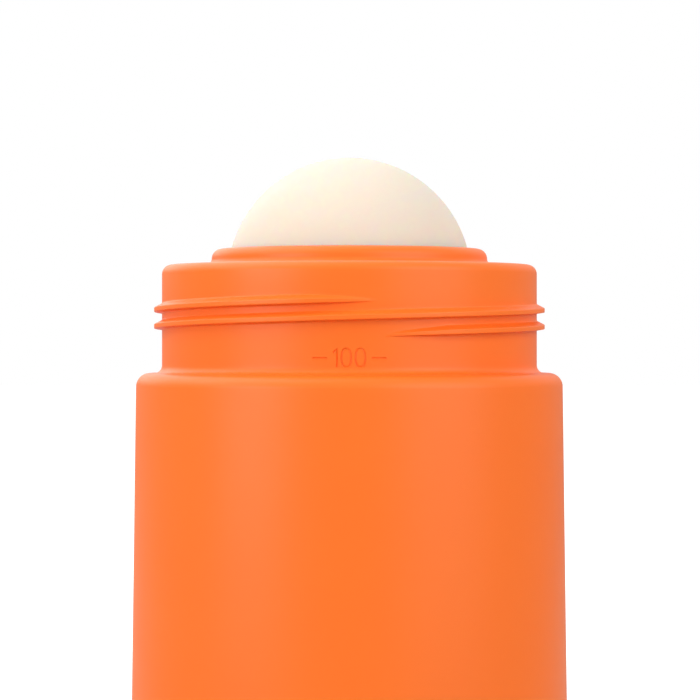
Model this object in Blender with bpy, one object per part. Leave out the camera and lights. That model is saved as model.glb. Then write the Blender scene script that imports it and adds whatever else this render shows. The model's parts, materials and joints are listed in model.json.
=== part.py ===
"""Refillable roll-on applicator for sunscreen, modelled piece by piece.

Lengths are in metres and +Z is up. The origin is the middle of the underside, and the front faces -Y.
The container, its threaded neck and the collar round the ball are one moulding. The ball is held between
the collar's lip and a seat that snaps in from inside, and a screw base closes the foot, where it is refilled.
"""

import math

import bmesh
import bpy
from mathutils import Vector

# The ball and the collar round it
BALL_DIAMETER = 0.0286
BALL_CLEARANCE = 0.0002
BALL_DEPTH = 0.00176
COLLAR_WALL = 0.00162
COLLAR_HEIGHT = 0.00186
COLLAR_EDGE = 0.0013
COLLAR_FOOT = 0.0006

# The deck, the neck and the shoulder under the collar
DECK_WIDTH = 0.0058
DECK_THICKNESS = 0.002
DECK_EDGE = 0.0011
NECK_HEIGHT = 0.01263
NECK_WALL = 0.0019
NECK_FOOT = 0.0009
SHOULDER_WIDTH = 0.003
SHOULDER_EDGE = 0.0016

# The container below the shoulder, which widens a little towards the foot
SHOULDER_HEIGHT = 0.0665
BODY_FLARE = 0.00088
BODY_WALL = 0.002
INNER_ROUNDING = 0.001
RIM_EDGE = 0.0003

# The rib on the neck that a cap screws on to
CAP_RIB_STARTS = 2
CAP_RIB_LEAD = 0.00388
CAP_RIB_HEIGHT = 0.00092
CAP_RIB_CREST = 0.0005
CAP_RIB_UPPER_FLANK = 0.00047
CAP_RIB_LOWER_FLANK = 0.00014
CAP_RIB_DEPTH = 0.00847
CAP_RIB_MARGIN = 0.0004
CAP_RIB_FIRST_ANGLE = math.radians(-78)
CAP_RIB_SWEEP = math.radians(354)
CAP_RIB_FADE = math.radians(20)

# The boss under the deck and the seat that snaps into it from inside
SEAT_STEP = 0.0008
SEAT_CLEARANCE = 0.0001
SEAT_DEPTH = 0.0034
SEAT_SKIRT_HEIGHT = 0.006
SEAT_SKIRT_WALL = 0.0011
CUP_WALL = 0.0013
FEED_RADIUS = 0.009
FEED_NOTCHES = 6
FEED_NOTCH_RADIUS = 0.0013
BOSS_WALL = 0.0016
BOSS_ROUNDING = 0.0004
SNAP_REACH = 0.0003
SNAP_LAND = 0.0003
SNAP_LEAD_IN = 0.0006

# The screw base, its gasket and its thread
BASE_RING_HEIGHT = 0.008
SEAM_GAP = 0.0002
FOOT_EDGE = 0.0015
FOOT_WIDTH = 0.0026
FOOT_INNER_EDGE = 0.0005
RECESS_DEPTH = 0.0036
FLOOR_THICKNESS = 0.0018
SKIRT_HEIGHT = 0.0084
SKIRT_WALL = 0.0018
SKIRT_EDGE = 0.0004
GASKET_WIDTH = 0.002
GASKET_THICKNESS = 0.001
GASKET_CLEARANCE = 0.0001
BORE_MARGIN = 0.0012
BASE_RIB_STARTS = 2
BASE_RIB_LEAD = 0.006
BASE_RIB_HEIGHT = 0.0009
BASE_RIB_CREST = 0.0007
BASE_RIB_FLANK = 0.0004
BASE_RIB_CLEARANCE = 0.0002
BASE_RIB_MARGIN = 0.0008
BASE_RIB_SWEEP = math.radians(210)
BASE_RIB_FADE = math.radians(20)

# The grip on the base's ring
GRIP_FLUTES = 20
GRIP_DEPTH = 0.0005
GRIP_MARGIN = 0.0007
GRIP_FADE = 0.0005

# How finely the round pieces are cut into faces
SEGMENTS = 48
SEGMENTS_PER_FLUTE = 3
BALL_RINGS = 18
NOTCH_SEGMENTS = 10
ARC_SAG = 0.00006
CUP_ARC_STEP = math.radians(11)
SHARP_ANGLE = math.radians(32)
RIB_ROOT = 0.0005
RIB_BURY = 0.0001
CUT_OVERRUN = 0.001
WELD = 0.000001

# What follows from the sizes above
BALL_RADIUS = BALL_DIAMETER / 2
CAVITY_RADIUS = BALL_RADIUS + BALL_CLEARANCE
COLLAR_RADIUS = CAVITY_RADIUS + COLLAR_WALL
NECK_RADIUS = COLLAR_RADIUS + DECK_WIDTH
BODY_TOP_RADIUS = NECK_RADIUS + SHOULDER_WIDTH
DECK_HEIGHT = SHOULDER_HEIGHT + NECK_HEIGHT
BALL_HEIGHT = DECK_HEIGHT - BALL_DEPTH
CAP_RIB_WIDTH = CAP_RIB_LOWER_FLANK + CAP_RIB_CREST + CAP_RIB_UPPER_FLANK
CAP_RIB_LOW = DECK_HEIGHT - CAP_RIB_DEPTH
CAP_RIB_HIGH = CAP_RIB_LOW + CAP_RIB_LEAD * CAP_RIB_SWEEP / math.tau + CAP_RIB_WIDTH
RIM_HEIGHT = BASE_RING_HEIGHT + SEAM_GAP


def body_radius(height):
    """The outside of the container at a height, straight from the shoulder down to the foot."""
    return BODY_TOP_RADIUS + BODY_FLARE * (SHOULDER_HEIGHT - height) / SHOULDER_HEIGHT


BORE_RADIUS = body_radius(RIM_HEIGHT) - BODY_WALL
SKIRT_RADIUS = BORE_RADIUS - BASE_RIB_HEIGHT - BASE_RIB_CLEARANCE
SKIRT_TOP = RIM_HEIGHT + SKIRT_HEIGHT
SEAT_BORE_RADIUS = CAVITY_RADIUS + SEAT_STEP
BOSS_RADIUS = SEAT_BORE_RADIUS + BOSS_WALL
SEAT_FOOT_DEPTH = SEAT_DEPTH + SEAT_CLEARANCE + SEAT_SKIRT_HEIGHT
GROOVE_FLOOR = RIM_HEIGHT - GASKET_THICKNESS - 2 * GASKET_CLEARANCE
GROOVE_RADIUS = SKIRT_RADIUS + GASKET_WIDTH + 2 * GASKET_CLEARANCE


def clear_scene():
    for obj in list(bpy.data.objects):
        bpy.data.objects.remove(obj)


def plastic(name, colour, roughness):
    """A plain material of one colour, given as linear red, green and blue."""
    material = bpy.data.materials.new(name)
    material.use_nodes = True
    shader = material.node_tree.nodes["Principled BSDF"]
    shader.inputs["Base Color"].default_value = (*colour, 1)
    shader.inputs["Roughness"].default_value = roughness
    shader.inputs["Metallic"].default_value = 0
    return material


def orange_plastic():
    return plastic("orange_plastic", (0.98, 0.19, 0.05), 0.42)


def ivory_plastic():
    return plastic("ivory_plastic", (0.93, 0.84, 0.7), 0.35)


def natural_plastic():
    return plastic("natural_plastic", (0.8, 0.78, 0.72), 0.45)


def soft_rubber():
    return plastic("soft_rubber", (0.62, 0.62, 0.6), 0.6)


def rounded(corners):
    """The outline through corners of (radius, height, rounding), with an arc at each that has a rounding.

    Where two arcs would meet along one edge, both are made smaller so that they share it.
    """
    places = [Vector(corner[:2]) for corner in corners]
    count = len(places)
    reaches = []
    for index, corner in enumerate(corners):
        back = places[index - 1] - places[index]
        ahead = places[(index + 1) % count] - places[index]
        reaches.append(corner[2] / math.tan(back.angle(ahead) / 2) if corner[2] else 0)
    fits = [1] * count
    for index in range(count):
        after = (index + 1) % count
        length = (places[after] - places[index]).length
        wanted = reaches[index] + reaches[after]
        if wanted > length:
            fits[index] = min(fits[index], length / wanted)
            fits[after] = min(fits[after], length / wanted)
    outline = []
    for index in range(count):
        reach = reaches[index] * fits[index]
        if not reach:
            outline.append(tuple(places[index]))
            continue
        back = (places[index - 1] - places[index]).normalized()
        ahead = (places[(index + 1) % count] - places[index]).normalized()
        half = back.angle(ahead) / 2
        centre = places[index] + (back + ahead).normalized() * reach / math.cos(half)
        first = places[index] + back * reach - centre
        last = places[index] + ahead * reach - centre
        outline += swept_arc(centre, first, last)
    return outline


def swept_arc(centre, first, last):
    """Points round the shorter way from centre + first to centre + last, with flats no deeper than ARC_SAG."""
    start = math.atan2(first.y, first.x)
    sweep = math.atan2(first.x * last.y - first.y * last.x, first.dot(last))
    widest = 2 * math.acos(max(0, 1 - ARC_SAG / first.length))
    steps = max(1, math.ceil(abs(sweep) / widest))
    angles = [start + sweep * step / steps for step in range(steps + 1)]
    return [(centre.x + first.length * math.cos(a), centre.y + first.length * math.sin(a)) for a in angles]


def ball_arc(radius, first_angle, last_angle):
    """Outline points on a sphere about the ball's middle. Angles rise from the ball's widest ring."""
    steps = math.ceil(abs(last_angle - first_angle) / CUP_ARC_STEP)
    angles = [first_angle + (last_angle - first_angle) * step / steps for step in range(steps + 1)]
    return [(radius * math.cos(a), radius * math.sin(a)) for a in angles]


def raised(outline, height):
    return [(point[0], point[1] + height) for point in outline]


def sharp(outline):
    """The same points as corners with no rounding."""
    return [(radius, height, 0) for radius, height in outline]


def finished(name, bm, material, height=0):
    """An object made of the mesh in bm, smooth but for its sharp edges, at a height on the Z axis."""
    bmesh.ops.remove_doubles(bm, verts=bm.verts, dist=WELD)
    bmesh.ops.recalc_face_normals(bm, faces=bm.faces)
    mesh = bpy.data.meshes.new(name)
    bm.to_mesh(mesh)
    bm.free()
    mesh.shade_smooth()
    mesh.set_sharp_from_angle(angle=SHARP_ANGLE)
    mesh.materials.append(material)
    obj = bpy.data.objects.new(name, mesh)
    obj.location = (0, 0, height)
    bpy.context.collection.objects.link(obj)
    return obj


def spun(outline, segments, closed=True):
    """A mesh turned round the Z axis. An outline that isn't closed starts and ends on the axis."""
    bm = bmesh.new()
    verts = [bm.verts.new((radius, 0, height)) for radius, height in outline]
    edges = [bm.edges.new(pair) for pair in zip(verts, verts[1:])]
    if closed:
        edges.append(bm.edges.new((verts[-1], verts[0])))
    bmesh.ops.spin(
        bm,
        geom=verts + edges,
        cent=(0, 0, 0),
        axis=(0, 0, 1),
        angle=math.tau,
        steps=segments,
        use_merge=True,
    )
    return bm


def helper(obj):
    """Marks an object that only shapes another one."""
    obj.hide_render = True
    obj.display_type = "WIRE"
    return obj


def boolean(obj, tool, operation):
    modifier = obj.modifiers.new(tool.name, "BOOLEAN")
    modifier.operation = operation
    modifier.solver = "EXACT"
    modifier.object = helper(tool)


def rib_section(wall, outward, height, crest, lower_flank, upper_flank):
    """Four corners of a thread rib as (radius, height over its lower root), sunk a little into its wall."""
    sink = RIB_ROOT / height
    top = lower_flank + crest + upper_flank
    return [
        (wall - outward * RIB_ROOT, -lower_flank * sink),
        (wall + outward * height, lower_flank),
        (wall + outward * height, lower_flank + crest),
        (wall - outward * RIB_ROOT, top + upper_flank * sink),
    ]


def rib_body(name, wall, outward, section, lead, first_angle, low_height, sweep, fade, material):
    """One start of a thread rib, wound up a wall of a radius. It sinks into the wall at both ends."""
    bm = bmesh.new()
    steps = math.ceil(sweep / math.tau * SEGMENTS)
    loops = []
    for step in range(steps + 1):
        turned = sweep * step / steps
        share = min(1, turned / fade, (sweep - turned) / fade)
        angle = first_angle + turned
        loop = []
        for radius, height in section:
            if outward * (radius - wall) > 0:
                buried = wall - outward * RIB_BURY
                radius = buried + (radius - buried) * share
            z = low_height + lead * turned / math.tau + height
            loop.append(bm.verts.new((radius * math.cos(angle), radius * math.sin(angle), z)))
        loops.append(loop)
    for here, there in zip(loops, loops[1:]):
        for index in range(len(section)):
            after = (index + 1) % len(section)
            bm.faces.new((here[index], here[after], there[after], there[index]))
    bm.faces.new(loops[0])
    bm.faces.new(loops[-1])
    return finished(name, bm, material)


def add_cap_ribs(shell, material):
    """The two starts of the neck's rib: a near-level lower flank carries the cap, the upper one slopes."""
    section = rib_section(
        NECK_RADIUS, 1, CAP_RIB_HEIGHT, CAP_RIB_CREST, CAP_RIB_LOWER_FLANK, CAP_RIB_UPPER_FLANK
    )
    for start in range(CAP_RIB_STARTS):
        angle = CAP_RIB_FIRST_ANGLE + math.tau * start / CAP_RIB_STARTS
        rib = rib_body(
            f"cap_rib_{start + 1}", NECK_RADIUS, 1, section, CAP_RIB_LEAD, angle,
            CAP_RIB_LOW, CAP_RIB_SWEEP, CAP_RIB_FADE, material,
        )
        boolean(shell, rib, "UNION")


def add_base_ribs(obj, wall, outward, low_height, material):
    """The foot's thread on one of its two walls. Both walls have the same lead, so the ribs slide past."""
    section = rib_section(wall, outward, BASE_RIB_HEIGHT, BASE_RIB_CREST, BASE_RIB_FLANK, BASE_RIB_FLANK)
    for start in range(BASE_RIB_STARTS):
        rib = rib_body(
            f"{obj.name}_rib_{start + 1}", wall, outward, section, BASE_RIB_LEAD,
            math.tau * start / BASE_RIB_STARTS, low_height, BASE_RIB_SWEEP, BASE_RIB_FADE, material,
        )
        boolean(obj, rib, "UNION")


def collar_outline():
    """From the lip over the ball, over the collar and the deck, down the neck to the shoulder's edge.

    The neck has a point just above its ribs and one just below, so the faces that the ribs cut stay short.
    """
    collar_top = DECK_HEIGHT + COLLAR_HEIGHT
    return [
        (COLLAR_RADIUS, collar_top, COLLAR_EDGE),
        (COLLAR_RADIUS, DECK_HEIGHT, COLLAR_FOOT),
        (NECK_RADIUS, DECK_HEIGHT, DECK_EDGE),
        (NECK_RADIUS, CAP_RIB_HIGH + CAP_RIB_MARGIN, 0),
        (NECK_RADIUS, CAP_RIB_LOW - CAP_RIB_MARGIN, 0),
        (NECK_RADIUS, SHOULDER_HEIGHT, NECK_FOOT),
        (BODY_TOP_RADIUS, SHOULDER_HEIGHT, SHOULDER_EDGE),
    ]


def wall_outline():
    """Down the container's outside, round its rim and up its inside to the deck."""
    bore_top = SKIRT_TOP + BORE_MARGIN
    inside = body_radius(bore_top) - BODY_WALL
    ceiling = SHOULDER_HEIGHT - BODY_WALL
    under_deck = DECK_HEIGHT - DECK_THICKNESS
    return [
        (body_radius(RIM_HEIGHT), RIM_HEIGHT, RIM_EDGE),
        (BORE_RADIUS, RIM_HEIGHT, RIM_EDGE),
        (BORE_RADIUS, bore_top, 0),
        (inside, bore_top + BORE_RADIUS - inside, 0),
        (body_radius(ceiling) - BODY_WALL, ceiling, INNER_ROUNDING),
        (NECK_RADIUS - NECK_WALL, ceiling, INNER_ROUNDING),
        (NECK_RADIUS - NECK_WALL, under_deck, INNER_ROUNDING),
        (BOSS_RADIUS, under_deck, INNER_ROUNDING),
    ]


def boss_outline():
    """Down the boss's outside, up past its snap lip and the seat's step to the ball's widest ring."""
    seat_foot = BALL_HEIGHT - SEAT_FOOT_DEPTH - SEAT_CLEARANCE
    lip = SEAT_BORE_RADIUS - SNAP_REACH
    foot = seat_foot - SNAP_LAND - SNAP_LEAD_IN
    step = BALL_HEIGHT - SEAT_DEPTH
    return [
        (BOSS_RADIUS, foot, BOSS_ROUNDING),
        (SEAT_BORE_RADIUS, foot, 0),
        (lip, seat_foot - SNAP_LAND, 0),
        (lip, seat_foot, 0),
        (SEAT_BORE_RADIUS, seat_foot, 0),
        (SEAT_BORE_RADIUS, step, 0),
        (CAVITY_RADIUS, step, 0),
    ]


def body_shell(material):
    """Container, shoulder, neck, deck, collar and boss in one wall, open at the foot and over the ball."""
    lip_angle = math.asin((BALL_DEPTH + COLLAR_HEIGHT) / CAVITY_RADIUS)
    lip = raised(ball_arc(CAVITY_RADIUS, 0, lip_angle), BALL_HEIGHT)
    outline = rounded(collar_outline() + wall_outline() + boss_outline() + sharp(lip))
    shell = finished("body_shell", spun(outline, SEGMENTS), material)
    add_cap_ribs(shell, material)
    add_base_ribs(shell, BORE_RADIUS, -1, RIM_HEIGHT + BASE_RIB_MARGIN, material)
    return shell


def roller_ball(material):
    bm = bmesh.new()
    bmesh.ops.create_uvsphere(bm, u_segments=SEGMENTS, v_segments=BALL_RINGS, radius=BALL_RADIUS)
    return finished("roller_ball", bm, material, BALL_HEIGHT)


def ball_seat(material):
    """The cup under the ball inside a skirt that snaps into the boss. Its places are from the ball's middle."""
    skirt = SEAT_BORE_RADIUS - SEAT_CLEARANCE
    skirt_inside = skirt - SEAT_SKIRT_WALL
    top = -SEAT_DEPTH - SEAT_CLEARANCE
    cup_outside = CAVITY_RADIUS + CUP_WALL
    rim_angle = math.asin(top / CAVITY_RADIUS)
    feed_angle = -math.acos(FEED_RADIUS / CAVITY_RADIUS)
    join_angle = -math.acos(skirt_inside / cup_outside)
    outline = [
        (skirt, top, SNAP_REACH),
        (skirt, -SEAT_FOOT_DEPTH, 0),
        (skirt_inside, -SEAT_FOOT_DEPTH, 0),
        *sharp(ball_arc(cup_outside, join_angle, feed_angle)),
        *sharp(ball_arc(CAVITY_RADIUS, feed_angle, rim_angle)),
    ]
    seat = finished("ball_seat", spun(rounded(outline), SEGMENTS), material, BALL_HEIGHT)
    cut_feed_notches(seat, cup_outside * math.sin(feed_angle), material)
    return seat


def cut_feed_notches(seat, rim_depth, material):
    """Round bites out of the feed opening's edge, which let the lotion past the ball when it sits down."""
    notch_angle = math.acos((FEED_RADIUS + FEED_NOTCH_RADIUS) / CAVITY_RADIUS)
    low = rim_depth - CUT_OVERRUN
    high = CUT_OVERRUN - CAVITY_RADIUS * math.sin(notch_angle)
    for index in range(FEED_NOTCHES):
        angle = math.tau * (index + 0.5) / FEED_NOTCHES
        bm = bmesh.new()
        bmesh.ops.create_cone(
            bm,
            cap_ends=True,
            segments=NOTCH_SEGMENTS,
            radius1=FEED_NOTCH_RADIUS,
            radius2=FEED_NOTCH_RADIUS,
            depth=high - low,
        )
        notch = finished(f"feed_notch_{index + 1}", bm, material)
        notch.location = (
            FEED_RADIUS * math.cos(angle),
            FEED_RADIUS * math.sin(angle),
            BALL_HEIGHT + (high + low) / 2,
        )
        boolean(seat, notch, "DIFFERENCE")


def grip_heights():
    """The four heights that bound the grip on the ring: its ends, and where it has faded in."""
    low = FOOT_EDGE + GRIP_MARGIN
    high = BASE_RING_HEIGHT - RIM_EDGE - GRIP_MARGIN
    return low, low + GRIP_FADE, high - GRIP_FADE, high


def cut_grip(bm):
    """Presses shallow upright flutes into the ring's outside between the grip's inner two heights."""
    low, high = grip_heights()[1:3]
    for vert in bm.verts:
        radius = vert.co.xy.length
        if radius > GROOVE_RADIUS and low - WELD < vert.co.z < high + WELD:
            wave = (1 - math.cos(GRIP_FLUTES * math.atan2(vert.co.y, vert.co.x))) / 2
            vert.co.xy *= (radius - GRIP_DEPTH * wave) / radius


def refill_base(material):
    """The foot's screw base: a ring flush with the container, a floor, a gasket groove and a threaded skirt."""
    foot_radius = body_radius(0)
    floor_top = RECESS_DEPTH + FLOOR_THICKNESS
    skirt_inside = SKIRT_RADIUS - SKIRT_WALL
    corners = [
        (0, RECESS_DEPTH, 0),
        (foot_radius - FOOT_WIDTH, RECESS_DEPTH, INNER_ROUNDING),
        (foot_radius - FOOT_WIDTH, 0, FOOT_INNER_EDGE),
        (foot_radius, 0, FOOT_EDGE),
        *[(body_radius(height), height, 0) for height in grip_heights()],
        (body_radius(BASE_RING_HEIGHT), BASE_RING_HEIGHT, RIM_EDGE),
        (GROOVE_RADIUS, BASE_RING_HEIGHT, 0),
        (GROOVE_RADIUS, GROOVE_FLOOR, 0),
        (SKIRT_RADIUS, GROOVE_FLOOR, 0),
        (SKIRT_RADIUS, SKIRT_TOP, SKIRT_EDGE),
        (skirt_inside, SKIRT_TOP, SKIRT_EDGE),
        (skirt_inside, floor_top, INNER_ROUNDING),
        (0, floor_top, 0),
    ]
    bm = spun(rounded(corners), GRIP_FLUTES * SEGMENTS_PER_FLUTE, closed=False)
    cut_grip(bm)
    base = finished("refill_base", bm, material)
    half_pitch = BASE_RIB_LEAD / BASE_RIB_STARTS / 2
    add_base_ribs(base, SKIRT_RADIUS, 1, RIM_HEIGHT + BASE_RIB_MARGIN + half_pitch, material)
    return base


def base_seal(material):
    """The flat gasket, cut from sheet, that lies in the base's groove under the container's rim."""
    inside = SKIRT_RADIUS + GASKET_CLEARANCE
    outside = inside + GASKET_WIDTH
    outline = [(inside, 0), (outside, 0), (outside, GASKET_THICKNESS), (inside, GASKET_THICKNESS)]
    return finished("base_seal", spun(outline, SEGMENTS), material, GROOVE_FLOOR + GASKET_CLEARANCE)


def main():
    clear_scene()
    orange = orange_plastic()
    body_shell(orange)
    ball_seat(natural_plastic())
    roller_ball(ivory_plastic())
    refill_base(orange)
    base_seal(soft_rubber())


main()
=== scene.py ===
import json
import math

import bmesh
import bpy
from bpy.props import FloatProperty, FloatVectorProperty, IntProperty, PointerProperty
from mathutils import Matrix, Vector


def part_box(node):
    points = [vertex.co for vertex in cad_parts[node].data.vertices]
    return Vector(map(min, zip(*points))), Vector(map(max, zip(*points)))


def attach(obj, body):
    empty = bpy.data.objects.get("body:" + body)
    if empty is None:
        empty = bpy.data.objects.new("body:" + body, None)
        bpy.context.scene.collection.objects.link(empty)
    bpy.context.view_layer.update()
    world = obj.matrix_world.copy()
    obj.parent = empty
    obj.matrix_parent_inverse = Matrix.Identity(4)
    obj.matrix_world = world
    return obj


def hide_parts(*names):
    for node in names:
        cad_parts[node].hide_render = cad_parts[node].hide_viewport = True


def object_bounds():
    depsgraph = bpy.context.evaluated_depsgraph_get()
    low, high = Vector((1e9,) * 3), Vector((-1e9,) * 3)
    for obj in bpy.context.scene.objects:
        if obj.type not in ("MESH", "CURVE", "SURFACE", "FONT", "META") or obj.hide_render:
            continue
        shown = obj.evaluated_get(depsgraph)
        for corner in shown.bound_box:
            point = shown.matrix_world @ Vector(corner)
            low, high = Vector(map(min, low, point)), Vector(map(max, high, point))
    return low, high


bl_info = {
    "name": "Roll-on Applicator",
    "version": (1, 0, 0),
    "blender": (4, 5, 0),
    "location": "3D View > Sidebar > Applicator",
    "description": "Dresses the packed model of a refillable roll-on applicator in fine shapes and finishes",
    "category": "Object",
}

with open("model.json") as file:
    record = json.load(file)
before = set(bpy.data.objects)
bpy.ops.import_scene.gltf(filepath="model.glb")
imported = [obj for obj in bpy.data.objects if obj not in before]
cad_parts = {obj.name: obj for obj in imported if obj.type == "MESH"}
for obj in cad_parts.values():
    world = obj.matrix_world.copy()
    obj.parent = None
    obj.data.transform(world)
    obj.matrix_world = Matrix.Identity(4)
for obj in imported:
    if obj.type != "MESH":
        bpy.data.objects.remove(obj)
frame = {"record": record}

CAD_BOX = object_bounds()
BALL_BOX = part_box("roller_ball")
SHELL_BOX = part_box("body_shell")
BASE_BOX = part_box("refill_base")
SEAL_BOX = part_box("base_seal")
MOUNT_PLACES = {mount["name"]: mount["pos_m"] for mount in frame["record"]["mounts"]}

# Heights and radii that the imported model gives
BALL_RADIUS = (BALL_BOX[1].z - BALL_BOX[0].z) / 2
BALL_HEIGHT = (BALL_BOX[1].z + BALL_BOX[0].z) / 2
COLLAR_TOP = SHELL_BOX[1].z
DECK_HEIGHT = MOUNT_PLACES["deck"][2]
RIM_HEIGHT = SHELL_BOX[0].z
SKIRT_TOP = BASE_BOX[1].z


def length(name, description, default):
    """A size in metres that a user can change."""
    return FloatProperty(
        name=name, description=description, default=default, min=0, precision=5, unit="LENGTH", subtype="DISTANCE"
    )


def turn(name, description, degrees):
    """An angle that a user can change, given here in degrees."""
    return FloatProperty(
        name=name, description=description, default=math.radians(degrees), unit="ROTATION", subtype="ANGLE"
    )


def share(name, description, default):
    """A plain number from nought to one that a user can change."""
    return FloatProperty(name=name, description=description, default=default, min=0, max=1, subtype="FACTOR")


def colour(name, description, default):
    """A linear red, green and blue that a user can change."""
    return FloatVectorProperty(
        name=name, description=description, default=default, size=3, min=0, max=1, subtype="COLOR"
    )


def power(name, description, default):
    """A lamp's power in watts that a user can change."""
    return FloatProperty(name=name, description=description, default=default, min=0, unit="POWER")


class ShellSizes(bpy.types.PropertyGroup):
    """The outside and inside of the moulded container."""

    ball_clearance: length("Ball clearance", "Gap between the ball and the collar's lip", 0.0002)
    collar_radius: length("Collar radius", "Outside of the collar round the ball", 0.01612)
    collar_edge: length("Collar edge", "Rounding of the collar's top edge", 0.0013)
    collar_foot: length("Collar foot", "Fillet where the collar meets the deck", 0.0008)
    deck_edge: length("Deck edge", "Rounding of the deck's rim", 0.0011)
    deck_thickness: length("Deck thickness", "Thickness of the deck", 0.002)
    neck_radius: length("Neck radius", "Outside of the neck's plain wall", 0.02192)
    neck_height: length("Neck height", "Deck above the shoulder", 0.01263)
    neck_foot: length("Neck foot", "Fillet where the neck meets the shoulder", 0.0009)
    neck_wall: length("Neck wall", "Thickness of the neck's wall", 0.0019)
    shoulder_radius: length("Shoulder radius", "Container's outside at the shoulder", 0.02492)
    shoulder_edge: length("Shoulder edge", "Rounding of the shoulder's edge", 0.0016)
    flare: length("Flare", "How much wider the container is at its foot than at the shoulder", 0.00088)
    wall: length("Wall", "Thickness of the container's wall", 0.002)
    inner_rounding: length("Inner rounding", "Roundings on the inside", 0.001)
    rim_edge: length("Rim edge", "Rounding of the rim at the foot and of the base's upper edge", 0.0003)
    thread_room: length("Thread room", "Bore left plain above the base's skirt", 0.0012)


class RibSizes(bpy.types.PropertyGroup):
    """The two starts of the rib on the neck that a cap screws on to."""

    starts: IntProperty(name="Starts", description="Number of ribs side by side", default=2, min=1, max=4)
    lead: length("Lead", "How far a rib climbs in one turn", 0.00388)
    height: length("Height", "How far the rib stands out of the neck", 0.00092)
    crest: length("Crest", "Width of the rib's outer face", 0.0005)
    lower_flank: length("Lower flank", "Fall of the near-level flank that carries the cap", 0.00014)
    upper_flank: length("Upper flank", "Fall of the sloping upper flank", 0.00047)
    depth: length("Depth", "Low end of each rib below the deck", 0.00847)
    upper_rounding: length("Upper rounding", "Rounding of the rib's upper outer edge", 0.00016)
    lower_rounding: length("Lower rounding", "Rounding of the rib's lower outer edge", 0.00008)
    upper_fillet: length("Upper fillet", "Fillet above the rib", 0.00025)
    lower_fillet: length("Lower fillet", "Fillet under the rib", 0.0001)
    first_angle: turn("First angle", "Where the first rib's low end is, from +X towards +Y", -79.6)
    sweep: turn("Sweep", "How far round each rib goes", 356.6)
    fade: turn("Fade", "How far round each end tapers", 20)


class MarkSizes(bpy.types.PropertyGroup):
    """The small engraved number on the neck, between two level dashes."""

    height: length("Height", "Height of the figures", 0.002)
    width: length("Width", "Width of the whole mark, dashes included", 0.0082)
    rise: length("Rise", "Foot of the figures above the shoulder", 0.0009)
    stroke: length("Stroke", "Width of a stroke", 0.00026)
    depth: length("Depth", "Depth of a stroke", 0.00013)


class SeatSizes(bpy.types.PropertyGroup):
    """The cup under the ball and the boss that it snaps into."""

    step: length("Step", "How much wider the seat's bore is than the ball's", 0.0008)
    clearance: length("Clearance", "Gap between the seat and its bore", 0.0001)
    depth: length("Depth", "Seat's upper edge below the ball's middle", 0.0034)
    skirt_height: length("Skirt height", "Height of the seat's skirt", 0.006)
    skirt_wall: length("Skirt wall", "Thickness of the skirt", 0.0011)
    cup_wall: length("Cup wall", "Thickness of the cup", 0.0013)
    feed_radius: length("Feed radius", "Opening under the ball", 0.009)
    notch_radius: length("Notch radius", "Round notches in the opening's edge", 0.0013)
    notches: IntProperty(name="Notches", description="Number of notches", default=6, min=0, max=12)
    boss_wall: length("Boss wall", "Thickness of the boss under the deck", 0.0016)
    boss_rounding: length("Boss rounding", "Rounding of the boss's foot", 0.0004)
    snap_reach: length("Snap reach", "How far the boss's snap lip stands in", 0.0003)
    snap_land: length("Snap land", "Height of the snap lip's inner face", 0.0003)
    lead_in: length("Lead-in", "Height of the slope below the snap lip", 0.0006)


class BaseSizes(bpy.types.PropertyGroup):
    """The screw base that closes the foot, and its gasket."""

    ring_height: length("Ring height", "Height of the ring that shows", 0.008)
    foot_edge: length("Foot edge", "Rounding of the ring's lower outer edge", 0.0015)
    foot_width: length("Foot width", "Width of the ring that it stands on", 0.0026)
    foot_inner_edge: length("Foot inner edge", "Rounding of the ring's lower inner edge", 0.0005)
    recess: length("Recess", "Depth of the recess in the underside", 0.0036)
    floor: length("Floor", "Thickness of the base's floor", 0.0018)
    skirt_wall: length("Skirt wall", "Thickness of the threaded skirt", 0.0018)
    skirt_edge: length("Skirt edge", "Rounding of the skirt's upper edges", 0.0004)
    seal_gap: length("Gasket gap", "Gap round the gasket in its groove", 0.0001)
    grip_depth: length("Grip depth", "Depth of the grip's flutes", 0.0005)
    grip_margin: length("Grip margin", "Plain band below and above the flutes", 0.0007)
    grip_fade: length("Grip fade", "Height in which a flute deepens", 0.0008)
    flutes: IntProperty(name="Flutes", description="Number of flutes in the grip", default=20, min=6, max=60)
    gate_radius: length("Gate radius", "Radius of the moulding mark in the middle of the recess", 0.0011)
    gate_depth: length("Gate depth", "Depth of that mark", 0.0003)


class ThreadSizes(bpy.types.PropertyGroup):
    """The foot's thread, on the container's bore and on the base's skirt."""

    starts: IntProperty(name="Starts", description="Number of ribs side by side", default=2, min=1, max=4)
    lead: length("Lead", "How far a rib climbs in one turn", 0.006)
    height: length("Height", "How far a rib stands out of its wall", 0.0009)
    crest: length("Crest", "Width of a rib's crest", 0.0007)
    flank: length("Flank", "Fall of each flank", 0.0004)
    clearance: length("Clearance", "Gap between a crest and the other wall", 0.0002)
    margin: length("Margin", "Container's ribs above its rim", 0.0008)
    crest_rounding: length("Crest rounding", "Rounding of a crest's edges", 0.00015)
    sweep: turn("Sweep", "How far round each rib goes", 210)
    fade: turn("Fade", "How far round each end tapers", 20)


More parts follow.
